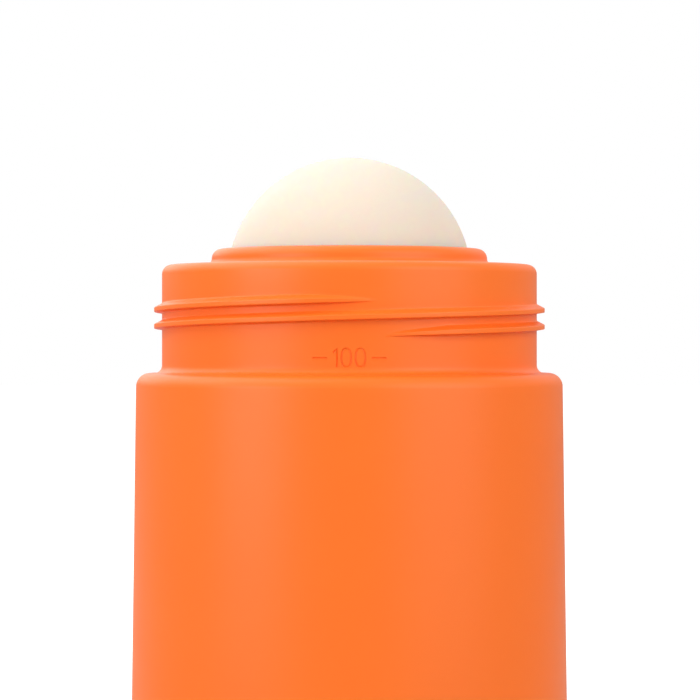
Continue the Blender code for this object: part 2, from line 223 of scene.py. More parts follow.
class Finishes(bpy.types.PropertyGroup):
    """Colours and surfaces.

    Scatter is the share of the light that comes out again after it went in, and reach is how far from there
    the red of it comes out.
    """

    orange: colour("Orange", "Container and base", (0.97, 0.178, 0.0175))
    orange_deep: colour("Deep orange", "Tone that the moulding's flow turns towards", (0.945, 0.165, 0.0145))
    orange_roughness: share("Orange roughness", "Satin of the container and the base", 0.39)
    orange_gloss: share("Orange gloss", "How strongly the orange mirrors", 0.28)
    orange_scatter: share("Orange scatter", "Light that comes back out of the orange", 0.05)
    orange_reach: length("Orange reach", "How far light spreads in the orange", 0.0003)
    ivory: colour("Ivory", "Ball", (0.735, 0.662, 0.563))
    ivory_deep: colour("Deep ivory", "Tone of the ball's faint clouds", (0.72, 0.643, 0.54))
    ivory_roughness: share("Ivory roughness", "Satin of the ball", 0.55)
    ivory_gloss: share("Ivory gloss", "How strongly the ball mirrors", 0.12)
    ivory_scatter: share("Ivory scatter", "Light that comes back out of the ball", 0.9)
    ivory_reach: length("Ivory reach", "How far light spreads in the ball", 0.008)
    natural: colour("Natural", "Seat of undyed plastic", (0.8, 0.78, 0.72))
    natural_deep: colour("Deep natural", "Tone of the seat's faint clouds", (0.74, 0.72, 0.66))
    natural_roughness: share("Natural roughness", "Satin of the seat", 0.45)
    natural_gloss: share("Natural gloss", "How strongly the seat mirrors", 0.4)
    natural_scatter: share("Natural scatter", "Light that comes back out of the seat", 0.3)
    natural_reach: length("Natural reach", "How far light spreads in the seat", 0.001)
    rubber: colour("Rubber", "Gasket", (0.62, 0.62, 0.6))
    rubber_deep: colour("Deep rubber", "Tone of the gasket's faint clouds", (0.56, 0.56, 0.54))
    rubber_roughness: share("Rubber roughness", "Dullness of the gasket", 0.6)
    rubber_gloss: share("Rubber gloss", "How strongly the gasket mirrors", 0.3)
    rubber_scatter: share("Rubber scatter", "Light that comes back out of the gasket", 0.1)
    rubber_reach: length("Rubber reach", "How far light spreads in the gasket", 0.0003)
    grain: length("Grain", "Size of the mould's fine grain", 0.00012)
    grain_depth: length("Grain depth", "Depth of the mould's fine grain", 0.000004)
    clouds: length("Clouds", "Size of the faint clouds in the plastic", 0.012)


class StageSizes(bpy.types.PropertyGroup):
    """Camera, floor, lamps and surroundings."""

    camera_distance: length("Camera distance", "From the container's axis", 0.352)
    camera_height: length("Camera height", "Above the floor", 0.0707)
    camera_side: length("Camera side", "To the right of the container's middle", 0.00007)
    camera_shift: FloatProperty(name="Camera shift", description="Share of the picture's width", default=-0.0186)
    lens: FloatProperty(
        name="Lens", description="Focal length on a 36 mm sensor", default=154.5, unit="CAMERA", min=1
    )
    floor_radius: length("Floor radius", "Radius of the floor", 4.0)
    floor_tone: share("Floor tone", "How pale the floor is", 0.42)
    floor_lift: share("Floor lift", "Light added to the floor's picture beside the container", 0.48)
    floor_mirrored: share("Floor in reflections", "How much of the floor's added light reflections show", 0.15)
    floor_reach: length("Floor reach", "Where the floor shows pure white, from the container's axis", 0.4)
    surroundings: share("Surroundings", "Light from all round", 0.43)
    sky_rise: share("Sky rise", "Sine of the angle above the horizon where reflections show full white", 0.5)
    left_lamp: power("Left lamp", "Box in front on the left", 2.6)
    right_lamp: power("Right lamp", "Box in front on the right", 4.3)
    high_lamp: power("High lamp", "Large box high on the left", 4.0)
    top_lamp: power("Top lamp", "Large box overhead", 1.0)
    back_lamp: power("Back lamp", "Box behind on the left", 2.1)


# How finely the pieces are cut into faces
SEGMENTS = 288
INNER_SEGMENTS = 144
SEGMENTS_PER_FLUTE = 12
BALL_DIVISIONS = 6
TUBE_DIVISIONS = 4
NOUGHT_POINTS = 40
NOTCH_POINTS = 32
FLOOR_SEGMENTS = 96
GRIP_ROWS = 6
ARC_STEP = math.radians(9)
BALL_ARC_FINENESS = 3
SHARP_ANGLE = math.radians(35)
WELD = 0.0000005

# How deep the foot thread's ribs root in their wall, how deep they end in it, and how far a cutter overruns
RIB_ROOT = 0.0005
RIB_BURY = 0.0001
CUT_OVERRUN = 0.001

# How often a cut or join is tried, and how far its tool turns from one try to the next
TRIES = 8
NUDGE = math.radians(0.17)

# How a rib on the neck narrows where it ends
NARROWEST_RIB_SHARE = 0.3
RIB_WIDTH_POWER = 0.4

# Rounding of the gasket's edges
GASKET_EDGE = 0.00008

# What the finishes share: how far red, green and blue spread in them, and how fine and strong their noises are
SCATTER_SHARES = (1.0, 0.4, 0.15)
CLOUD_DETAIL = 3
GRAIN_DETAIL = 2
SATIN_SPREAD = 0.035

# The turn about X that makes a camera level, and the lamps' places, widths and heights
LEVEL = math.radians(90)
LAMPS = {
    "left_lamp": ((-0.617, -0.5, 0.236), 0.5, 0.3),
    "right_lamp": ((0.577, -0.468, 0.392), 0.7, 0.7),
    "high_lamp": ((-0.552, -0.048, 0.755), 0.8, 0.8),
    "top_lamp": ((0, 0, 0.946), 1, 1),
    "back_lamp": ((-0.3, 0.59, 0.53), 0.8, 0.8),
}

# The mark's figures, drawn in shares of their height from their lower left corner
ONE_WIDTH_SHARE = 0.2
ONE_SHARES = [(0, 0.8), (ONE_WIDTH_SHARE, 1), (ONE_WIDTH_SHARE, 0)]
NOUGHTS = 2
NOUGHT_WIDTH_SHARE = 0.54
OVAL_POWER = 0.75
FIGURE_GAP_SHARE = 0.24
DASH_GAP_SHARE = 0.36
DASH_HEIGHT_SHARE = 0.48
FRONT = math.radians(-90)


def swept_arc(centre, first, last):
    """Points round the shorter way from centre + first to centre + last."""
    start = math.atan2(first.y, first.x)
    sweep = math.atan2(first.x * last.y - first.y * last.x, first.dot(last))
    steps = max(2, math.ceil(abs(sweep) / ARC_STEP))
    angles = [start + sweep * step / steps for step in range(steps + 1)]
    return [(centre.x + first.length * math.cos(a), centre.y + first.length * math.sin(a)) for a in angles]


def rounded(corners):
    """The outline through corners of (radius, height, rounding), with an arc at each that has a rounding.

    Where two arcs would meet along one edge, both are made smaller so that they share it.
    """
    places = [Vector(corner[:2]) for corner in corners]
    count = len(places)
    reaches = []
    for index, corner in enumerate(corners):
        back = places[index - 1] - places[index]
        ahead = places[(index + 1) % count] - places[index]
        reaches.append(corner[2] / math.tan(back.angle(ahead) / 2) if corner[2] else 0)
    fits = [1] * count
    for index in range(count):
        after = (index + 1) % count
        room = (places[after] - places[index]).length
        wanted = reaches[index] + reaches[after]
        if wanted > room:
            fits[index] = min(fits[index], room / wanted)
            fits[after] = min(fits[after], room / wanted)
    outline = []
    for index in range(count):
        reach = reaches[index] * fits[index]
        if not reach:
            outline.append(tuple(places[index]))
            continue
        back = (places[index - 1] - places[index]).normalized()
        ahead = (places[(index + 1) % count] - places[index]).normalized()
        half = back.angle(ahead) / 2
        centre = places[index] + (back + ahead).normalized() * reach / math.cos(half)
        first = places[index] + back * reach - centre
        last = places[index] + ahead * reach - centre
        outline += swept_arc(centre, first, last)
    return outline


def ball_arc(radius, first_angle, last_angle):
    """Corners on a sphere about the ball's middle. Angles rise from the ball's widest ring."""
    steps = math.ceil(abs(last_angle - first_angle) / ARC_STEP * BALL_ARC_FINENESS)
    angles = [first_angle + (last_angle - first_angle) * step / steps for step in range(steps + 1)]
    return [(radius * math.cos(a), BALL_HEIGHT + radius * math.sin(a), 0) for a in angles]


def finished(name, bm):
    """An object made of the mesh in bm."""
    bmesh.ops.remove_doubles(bm, verts=bm.verts, dist=WELD)
    bmesh.ops.recalc_face_normals(bm, faces=bm.faces)
    mesh = bpy.data.meshes.new(name)
    bm.to_mesh(mesh)
    bm.free()
    obj = bpy.data.objects.new(name, mesh)
    bpy.context.scene.collection.objects.link(obj)
    return obj


def spun(outline, segments, closed=True):
    """A mesh turned round the Z axis. An outline that isn't closed starts and ends on the axis."""
    bm = bmesh.new()
    verts = [bm.verts.new((radius, 0, height)) for radius, height in outline]
    edges = [bm.edges.new(pair) for pair in zip(verts, verts[1:])]
    if closed:
        edges.append(bm.edges.new((verts[-1], verts[0])))
    bmesh.ops.spin(
        bm, geom=verts + edges, cent=(0, 0, 0), axis=(0, 0, 1), angle=math.tau, steps=segments, use_merge=True
    )
    return bm


def is_closed(mesh):
    """Whether every edge joins two faces."""
    bm = bmesh.new()
    bm.from_mesh(mesh)
    closed = all(edge.is_manifold for edge in bm.edges)
    bm.free()
    return closed


def cut_and_joined(obj, tools, operation):
    """Cuts the tools' solids out of the object's own mesh or joins them to it. The tools are used up.

    Where that leaves a gap in the surface, the tool is turned a hair about the Z axis and used again.
    """
    for tool in tools:
        for attempt in range(TRIES):
            tool.rotation_euler.z = attempt * NUDGE
            modifier = obj.modifiers.new(tool.name, "BOOLEAN")
            modifier.operation = operation
            modifier.solver = "EXACT"
            modifier.object = tool
            evaluated = obj.evaluated_get(bpy.context.evaluated_depsgraph_get())
            mesh = bpy.data.meshes.new_from_object(evaluated)
            obj.modifiers.clear()
            if is_closed(mesh):
                break
        else:
            raise RuntimeError(f"{obj.name} stays open where it meets {tool.name}")
        obj.data = mesh
        bpy.data.objects.remove(tool)


def dressed(obj, material, body, node):
    """Finishes a piece: smooth but for its sharp edges, in its material, in place of its node."""
    obj.data.shade_smooth()
    obj.data.set_sharp_from_angle(angle=SHARP_ANGLE)
    obj.data.materials.clear()
    obj.data.materials.append(material)
    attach(obj, body)
    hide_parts(node)


def moulded(name, tone, deep_tone, roughness, gloss, scatter, reach):
    """A moulded material: faint clouds in its colour, uneven satin, and the mould's fine grain.

    Pieces that ask for the same name share one material.
    """
    known = bpy.data.materials.get(name)
    if known:
        return known
    finishes = bpy.context.scene.applicator_finishes
    material = bpy.data.materials.new(name)
    material.use_nodes = True
    nodes, links = material.node_tree.nodes, material.node_tree.links
    shader = nodes["Principled BSDF"]
    shader.inputs["Specular IOR Level"].default_value = gloss
    shader.inputs["Subsurface Weight"].default_value = scatter
    shader.inputs["Subsurface Radius"].default_value = SCATTER_SHARES
    shader.inputs["Subsurface Scale"].default_value = reach

    place = nodes.new("ShaderNodeTexCoord")
    clouds = nodes.new("ShaderNodeTexNoise")
    clouds.inputs["Scale"].default_value = 1 / finishes.clouds
    clouds.inputs["Detail"].default_value = CLOUD_DETAIL
    links.new(place.outputs["Object"], clouds.inputs["Vector"])
    tint = nodes.new("ShaderNodeMix")
    tint.data_type = "RGBA"
    tint.inputs["A"].default_value = (*tone, 1)
    tint.inputs["B"].default_value = (*deep_tone, 1)
    links.new(clouds.outputs["Fac"], tint.inputs["Factor"])
    links.new(tint.outputs["Result"], shader.inputs["Base Color"])

    satin = nodes.new("ShaderNodeMapRange")
    satin.inputs["To Min"].default_value = roughness - SATIN_SPREAD
    satin.inputs["To Max"].default_value = roughness + SATIN_SPREAD
    links.new(clouds.outputs["Fac"], satin.inputs["Value"])
    links.new(satin.outputs["Result"], shader.inputs["Roughness"])

    grain = nodes.new("ShaderNodeTexNoise")
    grain.inputs["Scale"].default_value = 1 / finishes.grain
    grain.inputs["Detail"].default_value = GRAIN_DETAIL
    links.new(place.outputs["Object"], grain.inputs["Vector"])
    relief = nodes.new("ShaderNodeBump")
    relief.inputs["Distance"].default_value = finishes.grain_depth
    links.new(grain.outputs["Fac"], relief.inputs["Height"])
    links.new(relief.outputs["Normal"], shader.inputs["Normal"])
    return material


def orange_plastic():
    """Satin orange of the container and the base."""
    look = bpy.context.scene.applicator_finishes
    return moulded(
        "orange_plastic_satin", look.orange, look.orange_deep, look.orange_roughness,
        look.orange_gloss, look.orange_scatter, look.orange_reach,
    )


def ivory_plastic():
    """Translucent ivory of the ball."""
    look = bpy.context.scene.applicator_finishes
    return moulded(
        "ivory_plastic_soft", look.ivory, look.ivory_deep, look.ivory_roughness,
        look.ivory_gloss, look.ivory_scatter, look.ivory_reach,
    )


def natural_plastic():
    """Undyed plastic of the seat."""
    look = bpy.context.scene.applicator_finishes
    return moulded(
        "natural_plastic_plain", look.natural, look.natural_deep, look.natural_roughness,
        look.natural_gloss, look.natural_scatter, look.natural_reach,
    )


def soft_rubber():
    """Soft rubber of the gasket."""
    look = bpy.context.scene.applicator_finishes
    return moulded(
        "soft_rubber_plain", look.rubber, look.rubber_deep, look.rubber_roughness,
        look.rubber_gloss, look.rubber_scatter, look.rubber_reach,
    )


def body_radius(height):
    """The container's outside at a height, straight from the shoulder down to the foot."""
    sizes = bpy.context.scene.applicator_shell
    shoulder = DECK_HEIGHT - sizes.neck_height
    return sizes.shoulder_radius + sizes.flare * (shoulder - height) / shoulder


def skirt_radius():
    """The base's skirt, inside the container's bore and clear of its thread."""
    shell, thread = bpy.context.scene.applicator_shell, bpy.context.scene.applicator_thread
    return body_radius(RIM_HEIGHT) - shell.wall - thread.height - thread.clearance


def seat_bore():
    """The inside of the boss, where the seat goes in."""
    shell, seat = bpy.context.scene.applicator_shell, bpy.context.scene.applicator_seat
    return BALL_RADIUS + shell.ball_clearance + seat.step


def boss_radius():
    """The outside of the boss."""
    return seat_bore() + bpy.context.scene.applicator_seat.boss_wall


def shell_outline(low, high):
    """From the neck's wall under the ribs, round the whole section, to the neck's wall over the ribs."""
    sizes = bpy.context.scene.applicator_shell
    cavity = BALL_RADIUS + sizes.ball_clearance
    lip_angle = math.asin((COLLAR_TOP - BALL_HEIGHT) / cavity)
    shoulder = DECK_HEIGHT - sizes.neck_height
    return rounded([
        (sizes.neck_radius, low, 0),
        (sizes.neck_radius, shoulder, sizes.neck_foot),
        (sizes.shoulder_radius, shoulder, sizes.shoulder_edge),
        *wall_corners(shoulder - sizes.wall),
        *boss_corners(cavity),
        *ball_arc(cavity, 0, lip_angle),
        (sizes.collar_radius, COLLAR_TOP, sizes.collar_edge),
        (sizes.collar_radius, DECK_HEIGHT, sizes.collar_foot),
        (sizes.neck_radius, DECK_HEIGHT, sizes.deck_edge),
        (sizes.neck_radius, high, 0),
    ])


def wall_corners(ceiling):
    """Down the container's outside, round its rim and up its inside to the deck."""
    sizes = bpy.context.scene.applicator_shell
    bore = body_radius(RIM_HEIGHT) - sizes.wall
    bore_top = SKIRT_TOP + sizes.thread_room
    inside = body_radius(bore_top) - sizes.wall
    under_deck = DECK_HEIGHT - sizes.deck_thickness
    neck_inside = sizes.neck_radius - sizes.neck_wall
    return [
        (body_radius(RIM_HEIGHT), RIM_HEIGHT, sizes.rim_edge),
        (bore, RIM_HEIGHT, sizes.rim_edge),
        (bore, bore_top, 0),
        (inside, bore_top + bore - inside, 0),
        (body_radius(ceiling) - sizes.wall, ceiling, sizes.inner_rounding),
        (neck_inside, ceiling, sizes.inner_rounding),
        (neck_inside, under_deck, sizes.inner_rounding),
        (boss_radius(), under_deck, sizes.inner_rounding),
    ]


def boss_corners(cavity):
    """Down the boss's outside, up past its snap lip and the seat's step to the ball's widest ring."""
    seat = bpy.context.scene.applicator_seat
    bore = seat_bore()
    step = BALL_HEIGHT - seat.depth
    seat_foot = step - 2 * seat.clearance - seat.skirt_height
    foot = seat_foot - seat.snap_land - seat.lead_in
    return [
        (boss_radius(), foot, seat.boss_rounding),
        (bore, foot, 0),
        (bore - seat.snap_reach, seat_foot - seat.snap_land, 0),
        (bore - seat.snap_reach, seat_foot, 0),
        (bore, seat_foot, 0),
        (bore, step, 0),
        (cavity, step, 0),
    ]


def rib_rows():
    """Points across one cap rib from below it to above it, as (height out of the neck, rise)."""
    ribs = bpy.context.scene.applicator_ribs
    top = ribs.lower_flank + ribs.crest + ribs.upper_flank
    corners = [
        (0, -ribs.lower_fillet, 0),
        (0, 0, ribs.lower_fillet),
        (ribs.height, ribs.lower_flank, ribs.lower_rounding),
        (ribs.height, ribs.lower_flank + ribs.crest, ribs.upper_rounding),
        (0, top, ribs.upper_fillet),
        (0, top + ribs.upper_fillet, 0),
    ]
    return rounded(corners)


def rib_share(turned, sweep, fade):
    """How much of a rib stands out at an angle from its low end."""
    return max(0, min(1, turned / fade, (sweep - turned) / fade))


def banded_neck(bm, outline, low_end):
    """Turns the shell's outline, and closes it round the neck with a band of rows that wind up with the ribs.

    The rows come in sets, one for each rib that a line up the neck can meet. Where the band has gone once
    round, its rows meet those one lead higher, and the plain wall above and below it fills the step.
    """
    ribs = bpy.context.scene.applicator_ribs
    neck = bpy.context.scene.applicator_shell.neck_radius
    rows = rib_rows()
    walls, bands = [], []
    for column in range(SEGMENTS):
        turned = math.tau * column / SEGMENTS
        angle = ribs.first_angle + turned
        across = Vector((math.cos(angle), math.sin(angle), 0))
        walls.append([bm.verts.new(across * radius + Vector((0, 0, height))) for radius, height in outline])
        band = []
        for rib_set in range(2 * ribs.starts - 1):
            starts_on = rib_set - ribs.starts + 1
            along = turned + math.tau * starts_on / ribs.starts
            out = rib_share(along, ribs.sweep, ribs.fade)
            width = max(NARROWEST_RIB_SHARE, out ** RIB_WIDTH_POWER)
            edge = low_end + ribs.lower_flank + ribs.lead * along / math.tau
            for height, rise in rows:
                level = edge + (rise - ribs.lower_flank) * width
                band.append(bm.verts.new(across * (neck + height * out) + Vector((0, 0, level))))
        bands.append(band)
    for column in range(SEGMENTS):
        add_strip(bm, walls[column - 1], walls[column])
    for column in range(1, SEGMENTS):
        here, there = bands[column - 1], bands[column]
        add_strip(bm, here, there)
        bm.faces.new((walls[column - 1][0], walls[column][0], there[0], here[0]))
        bm.faces.new((here[-1], there[-1], walls[column][-1], walls[column - 1][-1]))
    last, first = bands[-1], bands[0]
    lead_rows = ribs.starts * len(rows)
    met = len(last) - lead_rows
    add_strip(bm, last[:met], first[lead_rows:])
    add_fan(bm, walls[-1][0], [walls[0][0], *first[: lead_rows + 1], last[0]])
    add_fan(bm, walls[0][-1], [first[-1], *last[met - 1 :], walls[-1][-1]])


def add_strip(bm, here, there):
    """Faces between two lines of points."""
    for index in range(len(here) - 1):
        bm.faces.new((here[index], there[index], there[index + 1], here[index + 1]))


def add_fan(bm, corner, line):
    """Faces from one point to each step of a line of points."""
    for here, there in zip(line, line[1:]):
        bm.faces.new((corner, here, there))


def foot_ribs(name, wall, outward, low_height):
    """The starts of the foot's thread on one of its two walls, as solids sunk a little into the wall."""
    thread = bpy.context.scene.applicator_thread
    sink = thread.flank * RIB_ROOT / thread.height
    top = 2 * thread.flank + thread.crest
    section = rounded([
        (wall - outward * RIB_ROOT, -sink, 0),
        (wall + outward * thread.height, thread.flank, thread.crest_rounding),
        (wall + outward * thread.height, thread.flank + thread.crest, thread.crest_rounding),
        (wall - outward * RIB_ROOT, top + sink, 0),
    ])
    steps = math.ceil(thread.sweep / math.tau * SEGMENTS)
    solids = []
    for start in range(thread.starts):
        bm = bmesh.new()
        loops = []
        for step in range(steps + 1):
            turned = thread.sweep * step / steps
            out = rib_share(turned, thread.sweep, thread.fade)
            angle = math.tau * start / thread.starts + turned
            across = Vector((math.cos(angle), math.sin(angle), 0))
            foot = Vector((0, 0, low_height + thread.lead * turned / math.tau))
            loops.append([
                bm.verts.new(across * sunk(radius, wall, outward, out) + foot + Vector((0, 0, rise)))
                for radius, rise in section
            ])
        for here, there in zip(loops, loops[1:]):
            add_strip(bm, here + here[:1], there + there[:1])
        bm.faces.new(loops[0])
        bm.faces.new(loops[-1])
        solids.append(finished(f"{name}_{start + 1}", bm))
    return solids


def sunk(radius, wall, outward, out):
    """A rib's radius where only a share of it stands out: what lies past the wall sinks to just under it."""
    if outward * (radius - wall) <= 0:
        return radius
    buried = wall - outward * RIB_BURY
    return buried + (radius - buried) * out


def mark_strokes():
    """The mark's strokes from its left end at 0, as lists of (along, up), each with whether it closes."""
    mark = bpy.context.scene.applicator_mark
    tall = mark.height
    nought = NOUGHT_WIDTH_SHARE * tall
    gap = FIGURE_GAP_SHARE * tall
    one = ONE_WIDTH_SHARE * tall
    figures = one + NOUGHTS * (gap + nought)
    dash = (mark.width - figures) / 2 - DASH_GAP_SHARE * tall
    level = DASH_HEIGHT_SHARE * tall
    left = dash + DASH_GAP_SHARE * tall
    strokes = [
        ([(0, level), (dash, level)], False),
        ([(left + along * tall, up * tall) for along, up in ONE_SHARES], False),
    ]
    for index in range(NOUGHTS):
        middle = left + one + gap + nought / 2 + index * (nought + gap)
        strokes.append((oval(middle, tall / 2, nought / 2, tall / 2), True))
    strokes.append(([(mark.width - dash, level), (mark.width, level)], False))
    return strokes


def oval(along, up, half_width, half_height):
    """Points round an upright oval with nearly straight sides."""
    points = []
    for step in range(NOUGHT_POINTS):
        angle = math.tau * step / NOUGHT_POINTS
        side = math.copysign(abs(math.cos(angle)) ** OVAL_POWER, math.cos(angle))
        points.append((along + half_width * side, up + half_height * math.sin(angle)))
    return points


def mark_cutter():
    """Tubes along the mark's strokes, bent round the front of the neck, as one solid to cut with."""
    mark = bpy.context.scene.applicator_mark
    shell = bpy.context.scene.applicator_shell
    foot = DECK_HEIGHT - shell.neck_height + mark.rise
    path_radius = shell.neck_radius + mark.stroke / 2 - mark.depth
    curve = bpy.data.curves.new("mark_cutter", "CURVE")
    curve.dimensions = "3D"
    curve.bevel_depth = mark.stroke / 2
    curve.bevel_resolution = TUBE_DIVISIONS
    curve.use_fill_caps = True
    for points, closes in mark_strokes():
        spline = curve.splines.new("POLY")
        spline.points.add(len(points) - 1)
        spline.use_cyclic_u = closes
        for point, (along, up) in zip(spline.points, points):
            angle = FRONT + (along - mark.width / 2) / shell.neck_radius
            point.co = (path_radius * math.cos(angle), path_radius * math.sin(angle), foot + up, 1)
    path = bpy.data.objects.new("mark_path", curve)
    bpy.context.scene.collection.objects.link(path)
    evaluated = path.evaluated_get(bpy.context.evaluated_depsgraph_get())
    cutter = bpy.data.objects.new("mark_cutter", bpy.data.meshes.new_from_object(evaluated))
    bpy.context.scene.collection.objects.link(cutter)
    bpy.data.objects.remove(path)
    return cutter


class APPLICATOR_OT_shell(bpy.types.Operator):
    """Moulded container: wall, shoulder, neck with its ribs, deck, collar, boss and engraved mark"""

    bl_idname = "applicator.shell"
    bl_label = "Container"

    def execute(self, context):
        shell, thread = context.scene.applicator_shell, context.scene.applicator_thread
        low = DECK_HEIGHT - shell.neck_height + 2 * shell.neck_foot
        high = DECK_HEIGHT - shell.deck_edge
        bm = bmesh.new()
        banded_neck(bm, shell_outline(low, high), DECK_HEIGHT - context.scene.applicator_ribs.depth)
        container = finished("container", bm)
        # The mark comes first, because its cut leaves gaps once the bore's ribs are joined
        cut_and_joined(container, [mark_cutter()], "DIFFERENCE")
        bore = body_radius(RIM_HEIGHT) - shell.wall
        cut_and_joined(container, foot_ribs("bore_rib", bore, -1, RIM_HEIGHT + thread.margin), "UNION")
        dressed(container, orange_plastic(), "bottle", "body_shell")
        return {"FINISHED"}


class APPLICATOR_OT_seat(bpy.types.Operator):
    """Cup under the ball, in a skirt that snaps into the boss"""

    bl_idname = "applicator.seat"
    bl_label = "Ball seat"

    def execute(self, context):
        shell, seat = context.scene.applicator_shell, context.scene.applicator_seat
        cavity = BALL_RADIUS + shell.ball_clearance
        cup = cavity + seat.cup_wall
        skirt = seat_bore() - seat.clearance
        skirt_inside = skirt - seat.skirt_wall
        top = -seat.depth - seat.clearance
        foot = BALL_HEIGHT + top - seat.skirt_height
        feed_angle = -math.acos(seat.feed_radius / cavity)
        outline = rounded([
            (skirt, BALL_HEIGHT + top, seat.snap_reach),
            (skirt, foot, 0),
            (skirt_inside, foot, 0),
            *ball_arc(cup, -math.acos(skirt_inside / cup), feed_angle),
            *ball_arc(cavity, feed_angle, math.asin(top / cavity)),
        ])
        obj = finished("seat", spun(outline, INNER_SEGMENTS))
        cut_and_joined(obj, self.notch_tools(seat, BALL_HEIGHT + cup * math.sin(feed_angle)), "DIFFERENCE")
        dressed(obj, natural_plastic(), "bottle", "ball_seat")
        return {"FINISHED"}

    def notch_tools(self, seat, height):
        """Round bars that cut the notches out of the feed opening's edge, about a height."""
        tools = []
        for index in range(seat.notches):
            angle = math.tau * (index + 0.5) / seat.notches
            bm = bmesh.new()
            bmesh.ops.create_cone(
                bm,
                cap_ends=True,
                segments=NOTCH_POINTS,
                radius1=seat.notch_radius,
                radius2=seat.notch_radius,
                depth=seat.cup_wall + 2 * seat.notch_radius + 2 * CUT_OVERRUN,
            )
            middle = (seat.feed_radius * math.cos(angle), seat.feed_radius * math.sin(angle), height)
            bmesh.ops.translate(bm, verts=bm.verts, vec=middle)
            tools.append(finished(f"notch_tool_{index + 1}", bm))
        return tools


class APPLICATOR_OT_ball(bpy.types.Operator):
    """Ball that rolls the lotion on"""

    bl_idname = "applicator.ball"
    bl_label = "Ball"

    def execute(self, context):
        bm = bmesh.new()
        bmesh.ops.create_icosphere(bm, subdivisions=BALL_DIVISIONS, radius=BALL_RADIUS)
        bmesh.ops.translate(bm, verts=bm.verts, vec=(0, 0, BALL_HEIGHT))
        dressed(finished("ball", bm), ivory_plastic(), "ball", "roller_ball")
        return {"FINISHED"}


class APPLICATOR_OT_base(bpy.types.Operator):
    """Screw base: fluted ring, recessed underside, gasket groove and threaded skirt"""

    bl_idname = "applicator.base"
    bl_label = "Refill base"

    def execute(self, context):
        base, thread = context.scene.applicator_base, context.scene.applicator_thread
        heights = self.grip_heights(context)
        bm = spun(rounded(self.corners(context, heights)), base.flutes * SEGMENTS_PER_FLUTE, closed=False)
        self.press_flutes(bm, base, heights[0], heights[-1])
        obj = finished("base", bm)
        half_pitch = thread.lead / thread.starts / 2
        ribs = foot_ribs("skirt_rib", skirt_radius(), 1, RIM_HEIGHT + thread.margin + half_pitch)
        cut_and_joined(obj, ribs, "UNION")
        dressed(obj, orange_plastic(), "base", "refill_base")
        return {"FINISHED"}

    def grip_heights(self, context):
        """Where the flutes start and end, with rows between them in which they deepen."""
        shell, base = context.scene.applicator_shell, context.scene.applicator_base
        low = base.foot_edge + base.grip_margin
        high = base.ring_height - shell.rim_edge - base.grip_margin
        steps = [base.grip_fade * step / GRIP_ROWS for step in range(GRIP_ROWS + 1)]
        return [low + step for step in steps] + [high - step for step in reversed(steps)]

    def corners(self, context, grip_heights):
        """The base's section, from the middle of its underside round its ring and skirt to its floor."""
        shell, base = context.scene.applicator_shell, context.scene.applicator_base
        foot = body_radius(0)
        skirt = skirt_radius()
        groove_floor = SEAL_BOX[0].z - base.seal_gap
        groove = SEAL_BOX[1].x + base.seal_gap
        floor_top = base.recess + base.floor
        gate = base.recess + base.gate_depth
        return [
            (0, gate, 0),
            (base.gate_radius, gate, base.gate_depth / 2),
            (base.gate_radius + base.gate_depth, base.recess, base.gate_depth / 2),
            (foot - base.foot_width, base.recess, shell.inner_rounding),
            (foot - base.foot_width, 0, base.foot_inner_edge),
            (foot, 0, base.foot_edge),
            *[(body_radius(height), height, 0) for height in grip_heights],
            (body_radius(base.ring_height), base.ring_height, shell.rim_edge),
            (groove, base.ring_height, 0),
            (groove, groove_floor, 0),
            (skirt, groove_floor, 0),
            (skirt, SKIRT_TOP, base.skirt_edge),
            (skirt - base.skirt_wall, SKIRT_TOP, base.skirt_edge),
            (skirt - base.skirt_wall, floor_top, shell.inner_rounding),
            (0, floor_top, 0),
        ]

    def press_flutes(self, bm, base, low, high):
        """Presses the grip's upright flutes into the ring. They deepen smoothly from both ends."""
        for vert in bm.verts:
            radius = vert.co.xy.length
            if radius < SEAL_BOX[1].x + base.seal_gap + WELD or not low < vert.co.z < high:
                continue
            part = min(1, (vert.co.z - low) / base.grip_fade, (high - vert.co.z) / base.grip_fade)
            eased = part * part * (3 - 2 * part)
            wave = (1 - math.cos(base.flutes * math.atan2(vert.co.y, vert.co.x))) / 2
            vert.co.xy *= (radius - base.grip_depth * wave * eased) / radius


class APPLICATOR_OT_gasket(bpy.types.Operator):
    """Flat gasket between the base and the container's rim"""

    bl_idname = "applicator.gasket"
    bl_label = "Gasket"

    def execute(self, context):
        inside = skirt_radius() + context.scene.applicator_base.seal_gap
        outside = SEAL_BOX[1].x
        corners = [
            (inside, SEAL_BOX[0].z, GASKET_EDGE),
            (outside, SEAL_BOX[0].z, GASKET_EDGE),
            (outside, SEAL_BOX[1].z, GASKET_EDGE),
            (inside, SEAL_BOX[1].z, GASKET_EDGE),
        ]
        gasket = finished("gasket", spun(rounded(corners), INNER_SEGMENTS))
        dressed(gasket, soft_rubber(), "base_gasket", "base_seal")
        return {"FINISHED"}


def math_result(nodes, links, operation, *values):
    """The result of a Math node on sockets or plain numbers."""
    node = nodes.new("ShaderNodeMath")
    node.operation = operation
    for entry, value in zip(node.inputs, values):
        if isinstance(value, bpy.types.NodeSocket):
            links.new(value, entry)
        else:
            entry.default_value = value
    return node.outputs[0]


def background_rays(nodes, links, reflected):
    """A socket that is 1 for rays that see the background as it is, and reflected for mirrored ones."""
    path = nodes.new("ShaderNodeLightPath").outputs
    shown = math_result(nodes, links, "MULTIPLY", path["Is Glossy Ray"], reflected)
    shown = math_result(nodes, links, "MAXIMUM", shown, path["Is Camera Ray"])
    return math_result(nodes, links, "MAXIMUM", shown, path["Is Transmission Ray"])


